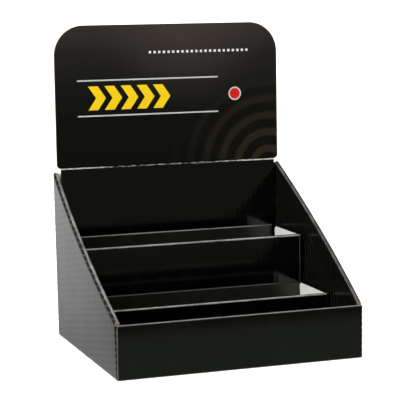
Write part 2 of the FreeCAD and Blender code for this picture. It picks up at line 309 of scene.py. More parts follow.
@dataclass(frozen=True)
class WornAndHighlitFold:
    """Fold of the printed board, where the gloss film is stretched and worn through.

    The eye sees a dull dark line with fine pale flecks of bare paper, thick in some stretches and
    thin in others. The flecks are partly real wear and partly painted highlight, for the light line
    that a fold's rounding catches.
    """

    name: str
    wear: float
    ink: str = "#11120e"
    paper: str = "#d8d6cf"
    roughness: float = 0.3
    shine: float = 0.5
    fleck_size: float = 0.9 * MM
    fleck_depth: float = 0.06 * MM
    fleck_spread: tuple[float, float] = (0.7, 1.3)
    stretch_size: float = 14 * MM
    stretch_wear: tuple[float, float] = (0.2, 1.8)
    crest_way: tuple[float, float, float] | None = None
    crest_from: float = 0.3

    def make(self) -> bpy.types.Material:
        """Build the material.

        Returns:
            The finished material.
        """
        material, tree, place = start_material(self.name)
        flecks = add_node(tree, "ShaderNodeTexNoise", {
            "Vector": place, "Scale": 1 / self.fleck_size, "Detail": FLECK})
        stretches = add_node(tree, "ShaderNodeTexNoise", {
            "Vector": place, "Scale": 1 / self.stretch_size, "Detail": GRAIN})
        both = add_node(tree, "ShaderNodeMath", {
            0: flecks.outputs[0], 1: stretches.outputs[0]}, operation="ADD")
        share = add_node(tree, "ShaderNodeMapRange", {
            "Value": both.outputs[0], "From Min": self.fleck_spread[0], "From Max": self.fleck_spread[1],
            "To Min": self.stretch_wear[0] * self.wear, "To Max": self.stretch_wear[1] * self.wear})
        bare = share.outputs[0]
        if self.crest_way:
            crest = flute_crests(tree, place, self.crest_way, self.crest_from)
            bare = add_node(tree, "ShaderNodeMath", {0: bare, 1: crest}, operation="MULTIPLY").outputs[0]
        tint = add_node(tree, "ShaderNodeMix", {
            "Factor": bare, "A": linear(self.ink), "B": linear(self.paper)}, data_type="RGBA")
        bump = add_node(tree, "ShaderNodeBump", {
            "Height": flecks.outputs[0], "Distance": self.fleck_depth})
        shader = add_node(tree, "ShaderNodeBsdfPrincipled", {
            "Base Color": tint.outputs["Result"], "Roughness": self.roughness,
            "Specular IOR Level": self.shine, "Normal": bump.outputs[0]})
        end_material(tree, shader)
        return material


@dataclass(frozen=True)
class WhiteLiner:
    """Unprinted white liner of the board: a matt, faintly fibrous white."""

    name: str = "clay_coated_white_liner"
    clean: str = "#e6e6e4"
    soiled: str = "#d2d1cc"
    roughness: float = 0.62
    fibre_size: float = 0.9 * MM
    fibre_depth: float = 0.02 * MM
    cloud_size: float = 26 * MM

    def make(self) -> bpy.types.Material:
        """Build the material.

        Returns:
            The finished material.
        """
        material, tree, place = start_material(self.name)
        cloud = add_node(tree, "ShaderNodeTexNoise", {
            "Vector": place, "Scale": 1 / self.cloud_size, "Detail": CLOUD})
        tint = add_node(tree, "ShaderNodeMix", {
            "Factor": cloud.outputs[0], "A": linear(self.clean), "B": linear(self.soiled)}, data_type="RGBA")
        fibre = add_node(tree, "ShaderNodeTexNoise", {
            "Vector": place, "Scale": 1 / self.fibre_size, "Detail": FIBRE})
        bump = add_node(tree, "ShaderNodeBump", {"Height": fibre.outputs[0], "Distance": self.fibre_depth})
        shader = add_node(tree, "ShaderNodeBsdfPrincipled", {
            "Base Color": tint.outputs["Result"], "Roughness": self.roughness, "Normal": bump.outputs[0]})
        end_material(tree, shader)
        return material


@dataclass(frozen=True)
class CutEdge:
    """Cut edge of the board: brown, soft kraft paper between two liners."""

    name: str = "die_cut_kraft_edge"
    paper: str = "#a08c72"
    # The darker brown, laid out at random by noise, is painted shade of the flute hollows.
    hollow_shade: str = "#4a3826"
    roughness: float = 0.85
    layer_size: float = 1.1 * MM
    layer_depth: float = 0.2 * MM

    def make(self) -> bpy.types.Material:
        """Build the material.

        Returns:
            The finished material.
        """
        material, tree, place = start_material(self.name)
        layers = add_node(tree, "ShaderNodeTexNoise", {
            "Vector": place, "Scale": 1 / self.layer_size, "Detail": FLECK})
        tint = add_node(tree, "ShaderNodeMix", {
            "Factor": layers.outputs[0], "A": linear(self.paper), "B": linear(self.hollow_shade)},
            data_type="RGBA")
        bump = add_node(tree, "ShaderNodeBump", {
            "Height": layers.outputs[0], "Distance": self.layer_depth})
        shader = add_node(tree, "ShaderNodeBsdfPrincipled", {
            "Base Color": tint.outputs["Result"], "Roughness": self.roughness, "Normal": bump.outputs[0]})
        end_material(tree, shader)
        return material


@dataclass(frozen=True)
class HeaderPrint:
    """Dark litho print of the header under gloss film.

    The eye sees a brownish grey glow at the top that sinks into olive black, with faint tan arcs low at the
    right.
    """

    name: str = "gloss_film_on_dark_field_print"
    film: GlossLaminate = field(default_factory=GlossLaminate)
    low: float = SCORE_HEIGHT
    high: float = 337.4 * MM
    tones: tuple[tuple[float, str], ...] = (
        (0.0, "#050603"), (0.22, "#0b0b08"), (0.34, "#090a06"),
        (0.55, "#10110f"), (0.8, "#1c1a18"), (1.0, "#2a2623"))
    glow: str = "#3a332f"
    glow_place: tuple[float, float, float] = (0.02, 0.11, 0.345)
    glow_reach: float = 115 * MM
    glow_share: float = 0.75
    arc: str = "#30271b"
    arc_place: tuple[float, float, float] = (0.118, 0.11, 0.176)
    arc_pitch: float = 19 * MM
    arc_reach: float = 135 * MM
    arc_share: float = 0.7
    arc_edge: tuple[float, float] = (-0.2, 0.6)

    def distance(self, tree: bpy.types.NodeTree, place: bpy.types.NodeSocket,
                 middle: tuple[float, float, float]) -> bpy.types.NodeSocket:
        """Measure the distance from a point of the header.

        Args:
            tree: The node tree of the material.
            place: The object coordinates.
            middle: The point.

        Returns:
            The distance in metres.
        """
        span = add_node(tree, "ShaderNodeVectorMath", {0: place, 1: middle}, operation="DISTANCE")
        return span.outputs["Value"]

    def make(self) -> bpy.types.Material:
        """Build the material.

        Returns:
            The finished material.
        """
        material, tree, place = start_material(self.name)
        height = add_node(tree, "ShaderNodeSeparateXYZ", {0: place}).outputs["Z"]
        share = add_node(tree, "ShaderNodeMapRange", {
            "Value": height, "From Min": self.low, "From Max": self.high})
        ramp = add_node(tree, "ShaderNodeValToRGB", {0: share.outputs[0]})
        stops = ramp.color_ramp.elements
        for index, (spot, tone) in enumerate(self.tones):
            stop = stops[index] if index < 2 else stops.new(spot)
            stop.position, stop.color = spot, linear(tone)
        near_glow = add_node(tree, "ShaderNodeMapRange", {
            "Value": self.distance(tree, place, self.glow_place), "From Max": self.glow_reach,
            "To Min": self.glow_share, "To Max": 0.0}, interpolation_type="SMOOTHSTEP")
        lit = add_node(tree, "ShaderNodeMix", {
            "Factor": near_glow.outputs[0], "A": ramp.outputs[0], "B": linear(self.glow)}, data_type="RGBA")
        from_arc = self.distance(tree, place, self.arc_place)
        turn = add_node(tree, "ShaderNodeMath", {
            0: from_arc, 1: math.tau / self.arc_pitch}, operation="MULTIPLY")
        wave = add_node(tree, "ShaderNodeMath", {0: turn.outputs[0]}, operation="COSINE")
        line = add_node(tree, "ShaderNodeMapRange", {
            "Value": wave.outputs[0], "From Min": self.arc_edge[0], "From Max": self.arc_edge[1]},
            interpolation_type="SMOOTHSTEP")
        fade = add_node(tree, "ShaderNodeMapRange", {
            "Value": from_arc, "From Max": self.arc_reach, "To Min": self.arc_share, "To Max": 0.0},
            interpolation_type="SMOOTHSTEP")
        arcs = add_node(tree, "ShaderNodeMath", {
            0: line.outputs[0], 1: fade.outputs[0]}, operation="MULTIPLY")
        print_tone = add_node(tree, "ShaderNodeMix", {
            "Factor": arcs.outputs[0], "A": lit.outputs["Result"], "B": linear(self.arc)}, data_type="RGBA")
        shader = add_node(tree, "ShaderNodeBsdfPrincipled", {
            "Base Color": print_tone.outputs["Result"], "Roughness": self.film.roughness,
            "IOR": self.film.ior, "Normal": self.film.relief(tree, place)})
        end_material(tree, shader)
        return material


@dataclass(frozen=True)
class SpotColour:
    """One flat printed colour under the gloss film, a little uneven as litho print is.

    The real print's dots are finer than the render shows, so its unevenness is drawn as a coarser grain.
    """

    name: str
    ink: str
    dark: str = "#000000"
    grain_size: float = 2 * MM
    least_ink: float = 0.86
    film: GlossLaminate = field(default_factory=GlossLaminate)

    def make(self) -> bpy.types.Material:
        """Build the material.

        Returns:
            The finished material.
        """
        material, tree, place = start_material(self.name)
        grain = add_node(tree, "ShaderNodeTexNoise", {
            "Vector": place, "Scale": 1 / self.grain_size, "Detail": GRAIN})
        shade = add_node(tree, "ShaderNodeMapRange", {
            "Value": grain.outputs[0], "To Min": self.least_ink, "To Max": 1.0})
        tint = add_node(tree, "ShaderNodeMix", {
            "Factor": shade.outputs[0], "A": linear(self.dark), "B": linear(self.ink)}, data_type="RGBA")
        shader = add_node(tree, "ShaderNodeBsdfPrincipled", {
            "Base Color": tint.outputs["Result"], "Roughness": self.film.roughness,
            "IOR": self.film.ior, "Normal": self.film.relief(tree, place)})
        end_material(tree, shader)
        return material


@dataclass(frozen=True)
class CrackedScore:
    """Folded score line whose film has cracked.

    The eye sees ragged flecks of white paper along a dark groove, most at its ends.
    """

    name: str = "cracked_film_on_folded_score"
    paper: str = "#c6c3bb"
    ink: str = "#11120d"
    whole_to: float = 60 * MM
    worn_from: float = 96 * MM
    fleck_length: float = 5 * MM
    fleck_width: float = 0.8 * MM
    fleck_depth: float = 0.1 * MM
    fleck_edge: tuple[float, float] = (0.42, 0.68)
    end_wear: tuple[float, float] = (-0.04, 0.14)
    film_roughness: float = 0.25
    paper_roughness: float = 0.8

    def make(self) -> bpy.types.Material:
        """Build the material.

        Returns:
            The finished material.
        """
        material, tree, place = start_material(self.name)
        stretch = add_node(tree, "ShaderNodeMapping", {
            "Vector": place, "Scale": (1 / self.fleck_length, 1 / self.fleck_width, 1 / self.fleck_width)})
        flecks = add_node(tree, "ShaderNodeTexNoise", {
            "Vector": stretch.outputs[0], "Scale": 1.0, "Detail": FLECK})
        across = add_node(tree, "ShaderNodeSeparateXYZ", {0: place}).outputs["X"]
        reach = add_node(tree, "ShaderNodeMath", {0: across}, operation="ABSOLUTE")
        wear = add_node(tree, "ShaderNodeMapRange", {
            "Value": reach.outputs[0], "From Min": self.whole_to, "From Max": self.worn_from,
            "To Min": self.end_wear[0], "To Max": self.end_wear[1]}, interpolation_type="SMOOTHSTEP")
        bare = add_node(tree, "ShaderNodeMath", {0: flecks.outputs[0], 1: wear.outputs[0]}, operation="ADD")
        share = add_node(tree, "ShaderNodeMapRange", {
            "Value": bare.outputs[0], "From Min": self.fleck_edge[0], "From Max": self.fleck_edge[1]})
        tint = add_node(tree, "ShaderNodeMix", {
            "Factor": share.outputs[0], "A": linear(self.ink), "B": linear(self.paper)}, data_type="RGBA")
        rough = add_node(tree, "ShaderNodeMapRange", {
            "Value": share.outputs[0], "To Min": self.film_roughness, "To Max": self.paper_roughness})
        bump = add_node(tree, "ShaderNodeBump", {
            "Height": bare.outputs[0], "Distance": self.fleck_depth})
        shader = add_node(tree, "ShaderNodeBsdfPrincipled", {
            "Base Color": tint.outputs["Result"], "Roughness": rough.outputs[0], "Normal": bump.outputs[0]})
        end_material(tree, shader)
        return material


class Finish(Enum):
    """Finishes of the faces of a folded sheet, in the order of its material slots."""

    PRINT = 0
    LINER = 1
    CUT = 2
    HEADER = 3
    SCORE = 4
    OUTER_SIDE = 5
    INNER_SIDE = 6
    RUBBED = 7
    WORN_FOLD = 8
    SCUFFED_FOLD = 9
    SOUND_FOLD = 10
    CRUSHED_FOLD = 11
    BARE_FOLD = 12


def across_outer_flutes() -> Vector:
    """Give the way across the flutes of a side's outer panel, which rise towards the front."""
    return Vector((0, math.sin(SIDE_FLUTE_RISE), math.cos(SIDE_FLUTE_RISE)))


def across_inner_flutes() -> Vector:
    """Give the way across the flutes of a side's inner panel, turned over with the fold of the rim."""
    fall = 2 * RIM_FALL + SIDE_FLUTE_RISE
    return Vector((0, math.sin(fall), -math.cos(fall)))


@dataclass
class Wardrobe:
    """The materials that the sheets share."""

    made: dict[Finish, bpy.types.Material] = field(default_factory=dict)

    def fill(self) -> None:
        """Build one material for each finish."""
        self.made = {
            Finish.PRINT: GlossLaminate().make(),
            Finish.LINER: WhiteLiner().make(),
            Finish.CUT: CutEdge().make(),
            Finish.HEADER: HeaderPrint().make(),
            Finish.SCORE: CrackedScore().make(),
            # The lighter ink on the treads and flanges is painted sheen for light that they catch. The
            # rougher film is from rubbing.
            Finish.RUBBED: GlossLaminate(
                name="gloss_film_rubbed_with_painted_sheen", ink="#1c1e17", rubbed_ink="#23241d",
                roughness=0.24, rubbed_roughness=0.24).make(),
            # Fold finishes: their pale flecks are wear and painted highlight, set per fold to the brightness
            # of its light line.
            Finish.WORN_FOLD: WornAndHighlitFold("worn_film_on_fold_with_painted_highlight", wear=0.20).make(),
            Finish.SCUFFED_FOLD: WornAndHighlitFold("scuffed_film_on_fold_with_painted_highlight", wear=0.09).make(),
            Finish.SOUND_FOLD: WornAndHighlitFold("sound_film_on_fold", wear=0.01, shine=0.2).make(),
            # The front rim's inner fold is all white paper: a painted highlight that the risers mirror.
            Finish.BARE_FOLD: WornAndHighlitFold("inner_fold_painted_white_as_highlight", wear=1.0, roughness=0.6).make(),
            # A dull, barely shining dark finish with worn flecks on the flute crests: painted shade for
            # creases, gaps and flute hollows.
            Finish.CRUSHED_FOLD: WornAndHighlitFold("dull_film_with_painted_shade_and_worn_flecks", wear=0.07, roughness=0.7, shine=0.15,
                                          crest_way=tuple(across_outer_flutes())).make(),
            # The sides' flute crests are lightened: a painted highlight for glints on the flutes, strongest
            # on the inner sides.
            Finish.OUTER_SIDE: GlossLaminate(
                name="gloss_film_on_outer_side", roughness=0.15, rubbed_roughness=0.22,
                crest_way=tuple(across_outer_flutes())).make(),
            Finish.INNER_SIDE: GlossLaminate(
                name="gloss_film_on_inner_side", crest_highlight_ink="#46463f", crest_from=0.85,
                roughness=0.15, rubbed_roughness=0.22,
                crest_way=tuple(across_inner_flutes())).make(),
        }


@dataclass(frozen=True)
class FlutedPanel:
    """A panel whose flutes press through its print as a washboard.

    Attributes:
        holds: Tells whether a face belongs to the panel, from its normal and its centre.
        outward: The way that the panel faces.
        across: The way across its flutes, along the panel.
    """

    holds: Callable[[Vector, Vector], bool]
    outward: Vector
    across: Vector
    pitch: float = FLUTE_PITCH
    depth: float = 0.10 * MM
    cuts_per_flute: int = 6

    def press(self, mesh: bmesh.types.BMesh) -> None:
        """Cut the panel along its flutes and sink the lines between them.

        A few hundred cuts are made, so they are made on the mesh itself and not by the edit mode's operator.

        Args:
            mesh: The sheet's mesh.
        """
        faces = [f for f in mesh.faces if self.holds(f.normal, f.calc_center_median())]
        reach = [v.co.dot(self.across) for f in faces for v in f.verts]
        step = self.pitch / self.cuts_per_flute
        first = math.floor(min(reach) / step) + 1
        last = math.ceil(max(reach) / step)
        done = []
        for count in range(first, last):
            spot = count * step
            whole = [f for f in faces if max(v.co.dot(self.across) for v in f.verts) <= spot + MERGE_REACH]
            done += whole
            faces = [f for f in faces if f not in set(whole)]
            edges = {e for f in faces for e in f.edges}
            verts = {v for f in faces for v in f.verts}
            result = bmesh.ops.bisect_plane(
                mesh, geom=[*faces, *edges, *verts], dist=MERGE_REACH / 10,
                plane_co=self.across * spot, plane_no=self.across)
            faces = [g for g in result["geom"] if isinstance(g, bmesh.types.BMFace)]
        done += faces
        for vertex in {v for f in done if f.is_valid for v in f.verts}:
            turn = math.tau * vertex.co.dot(self.across) / self.pitch
            vertex.co -= self.outward * self.depth * (1 - math.cos(turn)) / 2


@dataclass
class FoldedSheet:
    """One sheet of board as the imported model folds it, dressed with its finishes."""

    node: str
    piece: str
    slot: str
    board: float = BOARD

    def finish_of(self, normal: Vector, centre: Vector) -> Finish:
        """Choose the finish of a face.

        Args:
            normal: The way that the face looks.
            centre: The middle of the face.

        Returns:
            The face's finish.
        """
        raise NotImplementedError

    def panels(self) -> list[FlutedPanel]:
        """List the panels that show their flutes."""
        return []

    def cut_planes(self) -> list[tuple[Vector, Vector]]:
        """List the planes that part a face before it is dressed, each as a point and a normal."""
        return []

    def copy_node(self) -> bpy.types.Object:
        """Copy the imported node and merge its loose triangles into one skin.

        Returns:
            The new piece.
        """
        mesh = frame["nodes"][self.node].data.copy()
        mesh.materials.clear()
        piece = bpy.data.objects.new(self.piece, mesh)
        bpy.context.scene.collection.objects.link(piece)
        select_only(piece)
        bpy.ops.object.mode_set(mode="EDIT")
        bpy.ops.mesh.select_all(action="SELECT")
        bpy.ops.mesh.customdata_custom_splitnormals_clear()
        bpy.ops.mesh.remove_doubles(threshold=MERGE_REACH)
        bpy.ops.mesh.dissolve_limited(angle_limit=FLAT_ANGLE, delimit={"NORMAL"})
        for point, normal in self.cut_planes():
            bpy.ops.mesh.select_all(action="SELECT")
            bpy.ops.mesh.bisect(plane_co=point, plane_no=normal)
        bpy.ops.object.mode_set(mode="OBJECT")
        return piece

    def dress(self, piece: bpy.types.Object, wardrobe: Wardrobe) -> None:
        """Give each face its finish.

        Args:
            piece: The sheet's object.
            wardrobe: The materials to choose from.
        """
        for finish in Finish:
            piece.data.materials.append(wardrobe.made[finish])
        for face in piece.data.polygons:
            face.material_index = self.finish_of(face.normal, face.center).value

    def press_flutes(self, piece: bpy.types.Object) -> None:
        """Press the flutes of every panel into the mesh.

        Args:
            piece: The sheet's object.
        """
        mesh = bmesh.new()
        mesh.from_mesh(piece.data)
        for panel in self.panels():
            panel.press(mesh)
        mesh.to_mesh(piece.data)
        mesh.free()

    def smooth(self, piece: bpy.types.Object) -> None:
        """Shade the folds smooth, with normals that the large flat faces lead.

        Args:
            piece: The sheet's object.
        """
        select_only(piece)
        bpy.ops.object.shade_smooth_by_angle(angle=SMOOTH_ANGLE)
        weights = piece.modifiers.new("flat_faces_lead", "WEIGHTED_NORMAL")
        weights.keep_sharp = True
        bpy.ops.object.modifier_apply(modifier=weights.name)

    def build(self, wardrobe: Wardrobe) -> bpy.types.Object:
        """Build the dressed sheet and let it stand for its node.

        Args:
            wardrobe: The materials to choose from.

        Returns:
            The finished piece.
        """
        piece = self.copy_node()
        self.dress(piece, wardrobe)
        self.press_flutes(piece)
        self.smooth(piece)
        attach(piece, "root")
        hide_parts(self.node)
        LOG.info("%s: %d faces", piece.name, len(piece.data.polygons))
        return piece


@dataclass
class Tray(FoldedSheet):
    """The tray with its rolled-over front and sides.

    Attributes:
        pale_end: The bare paper at the raw ends of the front, from its face; behind it these ends are
            painted shade of the gap and flute hollows.
        raw_spot: The bare paper at the sides' front ends, from the rim down; below it these ends are painted
            shade.
        shade_strip_reach: The strip of a side behind its front end that is painted shade, a dull dark
            finish.
        shade_strip_depth: The strip of a side below its rim that is painted shade of its crease, a dull dark
            finish.
        front_fold: The front rim's fold, from the rim down.
        back_shade_start: The back wall's front face is black from this far to the right, as painted shade of
            that end.
    """

    node: str = "tray"
    piece: str = "tray_sheet"
    slot: str = "tray_board"
    half_width: float = 130 * MM
    half_depth: float = TRAY_DEPTH / 2
    wall: float = 5.1 * MM
    front_height: float = FRONT_HEIGHT
    side_rear_height: float = SIDE_REAR_HEIGHT
    rim_spread_front: float = 0.8 * MM
    rim_spread_rear: float = 2.0 * MM
    rim_bulge: float = 3.6 * MM
    pale_end: float = 0.7 * MM
    raw_spot: float = 1.8 * MM
    shade_strip_reach: float = 2.5 * MM
    shade_strip_depth: float = 4.5 * MM
    shade_strip_tilt: float = 0.12
    front_fold: float = 3 * MM
    back_shade_start: float = 118 * MM
    outer_flute_depth: float = 0.22 * MM
    inner_flute_depth: float = 0.16 * MM

    def in_wall(self, spot: Vector) -> float:
        """Measure how far a point lies inside the outer face of the nearer side wall.

        Args:
            spot: A point of the tray.

        Returns:
            Zero on the outer face, and the wall's thickness on the inner one.
        """
        share = (spot.y + self.half_depth) / (2 * self.half_depth)
        spread = (self.rim_spread_front * (1 - share) + self.rim_spread_rear * share
                  + self.rim_bulge * 4 * share * (1 - share))
        rim = self.front_height + (self.side_rear_height - self.front_height) * share
        foot = self.board / 2
        return self.half_width + spread * (spot.z - foot) / (rim - foot) - abs(spot.x)

    def finish_of(self, normal: Vector, centre: Vector) -> Finish:
        """Choose the finish of a face of the tray."""
        behind_front = centre.y + self.half_depth
        on_back_wall = centre.y > self.half_depth - self.board - BESIDE
        if normal.z > MOSTLY and centre.z < self.board + BESIDE:
            return Finish.LINER
        if normal.z > MOSTLY and on_back_wall:
            return Finish.CUT
        if normal.y < -MOSTLY and on_back_wall:
            # Right of this line the back wall's front face takes the black print as painted shade.
            return Finish.PRINT if centre.x > self.back_shade_start else Finish.LINER
        # Raw ends of the sides and the front: bare paper at the edge, and painted shade of the gap and flute
        # hollows behind and below it.
        if normal.y < -MOSTLY and abs(behind_front - self.wall) < CLOSE:
            return Finish.CUT if centre.z > self.front_height - self.raw_spot else Finish.CRUSHED_FOLD
        if abs(normal.x) > SQUARELY and behind_front < self.wall:
            return Finish.CUT if behind_front < self.pale_end else Finish.CRUSHED_FOLD
        if abs(normal.x) > MOSTLY and abs(self.in_wall(centre) - self.wall / 2) < BESIDE:
            return Finish.LINER
        if abs(normal.y) > MOSTLY and abs(behind_front - self.wall / 2) < BESIDE:
            return Finish.LINER
        # The left side's strips below its rim and behind its front end are painted shade of the crease.
        if normal.x < -NEARLY and centre.x < 0 and self.in_shade_strip(centre):
            return Finish.CRUSHED_FOLD
        if abs(normal.x) > NEARLY and behind_front > self.wall:
            return Finish.OUTER_SIDE if normal.x * centre.x > 0 else Finish.INNER_SIDE
        if behind_front > self.wall and centre.z > self.front_height and normal.z > SLIGHTLY:
            return self.rim_finish(normal, centre)
        # The front rim's folds: worn flecks that are also their painted highlight.
        if centre.z > self.front_height - self.front_fold and SLIGHTLY < normal.z < SQUARELY:
            # Its inner fold is painted white as a highlight.
            if normal.y > ASKEW:
                return Finish.BARE_FOLD
            return Finish.SCUFFED_FOLD if normal.z > HALFWAY else Finish.SOUND_FOLD
        return Finish.PRINT

    def below_rim(self, spot: Vector) -> float:
        """Measure how far a point lies below the sloping line of the sides' rims."""
        behind_front = spot.y + self.half_depth
        above_front = spot.z - self.front_height
        return behind_front * math.sin(RIM_FALL) - above_front * math.cos(RIM_FALL)

    def in_shade_strip(self, spot: Vector) -> bool:
        """Tell whether a point of a side lies in the strip of painted shade beside its rim's crease or its
        front end.
        """
        behind_wall = spot.y + self.half_depth - self.wall
        beside_end = behind_wall < self.shade_strip_reach
        return behind_wall > 0 and (beside_end or self.below_rim(spot) < self.shade_strip_depth)

    def rim_finish(self, normal: Vector, centre: Vector) -> Finish:
        """Choose the finish of a face of a side's rim. The left rim's flat and inner fold get more pale
        flecks and its outer fold a dull dark finish; the right rim's flat stays dark between lighter folds.
        These are painted highlight and painted shade for the rims' reflections, on top of wear.

        Args:
            normal: The way that the face looks.
            centre: The middle of the face.

        Returns:
            The face's finish.
        """
        if centre.x < 0:
            return Finish.CRUSHED_FOLD if normal.x < -self.shade_strip_tilt else Finish.WORN_FOLD
        return Finish.SOUND_FOLD if abs(normal.x) < ASKEW else Finish.SCUFFED_FOLD

    def cut_planes(self) -> list[tuple[Vector, Vector]]:
        """List the edges of the bare paper, of the strips of painted shade and of the back wall's end in
        painted shade.
        """
        down_rim = Vector((0, math.sin(RIM_FALL), -math.cos(RIM_FALL)))
        rim_front = UP * self.front_height - BACK * self.half_depth
        return [(BACK * (self.pale_end - self.half_depth), BACK),
                (UP * (self.front_height - self.raw_spot), UP),
                (BACK * (self.wall + self.shade_strip_reach - self.half_depth), BACK),
                (rim_front + down_rim * self.shade_strip_depth, down_rim),
                (RIGHT * self.back_shade_start, RIGHT)]

    def panels(self) -> list[FlutedPanel]:
        """List the tray's panels, whose flutes turn over with the sides' folds."""
        panels = [
            FlutedPanel(lambda n, c: n.y < -SQUARELY and c.y < TOUCHING - self.half_depth, -BACK, RIGHT),
            FlutedPanel(lambda n, c: n.y > SQUARELY and c.y > self.half_depth - TOUCHING, BACK, RIGHT),
        ]
        for sign in (-1, 1):
            panels.append(FlutedPanel(
                lambda n, c, s=sign: n.x * s > NEARLY and c.x * s > 0 and self.in_wall(c) < NEAR,
                RIGHT * sign, across_outer_flutes(), depth=self.outer_flute_depth))
            panels.append(FlutedPanel(
                lambda n, c, s=sign: (
                    n.x * s < -NEARLY and c.x * s > 0 and self.in_wall(c) > self.wall - NEAR),
                -RIGHT * sign, across_inner_flutes(), depth=self.inner_flute_depth))
        return panels


@dataclass
class Step(FoldedSheet):
    """A step insert: riser, lip, sunk tread, flange and end flaps.

    Attributes:
        lip: The depth of the lip's fold from the riser's face.
        lip_tilt: The least share of a normal's height on the lip's fold.
        end_tilt: The least and the largest share of a normal's width on the fold at a riser's end.
        tread_drop: The tread below the step's highest edge.
        flange_wear_and_highlight: The finish of the rear flange's edge, whose worn flecks are partly painted
            highlight.
        end_wear: The finish of the folds at the riser's ends, whose worn flecks are partly painted
            highlight.
    """

    slot: str = "step_board"
    lip: float = 6 * MM
    lip_tilt: float = 0.08
    end_tilt: tuple[float, float] = (0.1, 0.97)
    tread_drop: float = 20.8 * MM
    riser_flute_depth: float = 0.04 * MM
    flange_wear_and_highlight: Finish = Finish.SCUFFED_FOLD
    end_wear: Finish = Finish.SCUFFED_FOLD

    def __post_init__(self) -> None:
        """Read the step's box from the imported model."""
        self.low, self.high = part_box(self.node)

    def finish_of(self, normal: Vector, centre: Vector) -> Finish:
        """Choose the finish of a face of the step."""
        at_end = abs(centre.x) > self.high.x - self.board - CLOSE
        at_back = centre.y > self.high.y - self.board - NEAR
        # The lip's fold: worn flecks that are also its painted highlight.
        if centre.y < self.low.y + self.lip and self.lip_tilt < normal.z < SQUARELY:
            return Finish.WORN_FOLD
        if centre.y < self.low.y + self.board and self.end_tilt[0] < abs(normal.x) < self.end_tilt[1]:
            return self.end_wear
        if at_end and abs(normal.x) > MOSTLY:
            return Finish.PRINT if normal.x * centre.x > 0 else Finish.LINER
        if abs(normal.x) > MOSTLY or (at_end and centre.y > self.low.y + self.board):
            return Finish.CUT
        if normal.z < -MOSTLY or (normal.y > MOSTLY and centre.y > self.high.y - BESIDE):
            return Finish.LINER
        if at_back and normal.z > SLIGHTLY:
            return self.flange_wear_and_highlight
        # Tread tops and the rear flange: rubbed film with painted sheen.
        if at_back or normal.z > SQUARELY:
            return Finish.RUBBED
        return Finish.PRINT

    def panels(self) -> list[FlutedPanel]:
        """List the step's panels: the riser and the tread."""
        tread = self.high.z - self.tread_drop
        return [
            FlutedPanel(lambda n, c: n.y < -SQUARELY and c.y < self.low.y + TOUCHING, -BACK, RIGHT,
                        depth=self.riser_flute_depth),
            FlutedPanel(lambda n, c: n.z > SQUARELY and abs(c.z - tread) < NEAR, UP, RIGHT),
        ]


@dataclass
class HeaderCard(FoldedSheet):
    """The back liner and the header above its score."""

    node: str = "header_card"
    piece: str = "header_sheet"
    slot: str = "header_board"
    score_height: float = SCORE_HEIGHT
    score_reach: float = 2 * MM
    groove_tilt: float = 0.3
    header_flute_depth: float = 0.04 * MM
    liner_flute_depth: float = 0.03 * MM

    def cut_planes(self) -> list[tuple[Vector, Vector]]:
        """Hold the flat faces' shading close beside the score."""
        return [(UP * (self.score_height + reach), UP) for reach in (-self.score_reach, self.score_reach)]

    def finish_of(self, normal: Vector, centre: Vector) -> Finish:
        """Choose the finish of a face of the card."""
        if normal.y < -WHOLLY:
            return Finish.HEADER if centre.z > self.score_height else Finish.PRINT
        if normal.y < -self.groove_tilt:
            return Finish.SCORE if normal.z > SLIGHTLY else Finish.PRINT
        if normal.y > MOSTLY:
            return Finish.LINER
        return Finish.CUT

    def panels(self) -> list[FlutedPanel]:
        """List the card's two front panels."""
        return [
            FlutedPanel(lambda n, c: n.y < -MOSTLY and c.z > self.score_height + BESIDE, -BACK, RIGHT,
                        depth=self.header_flute_depth),
            FlutedPanel(lambda n, c: n.y < -MOSTLY and c.z < self.score_height - BESIDE, -BACK, RIGHT,
                        depth=self.liner_flute_depth),
        ]


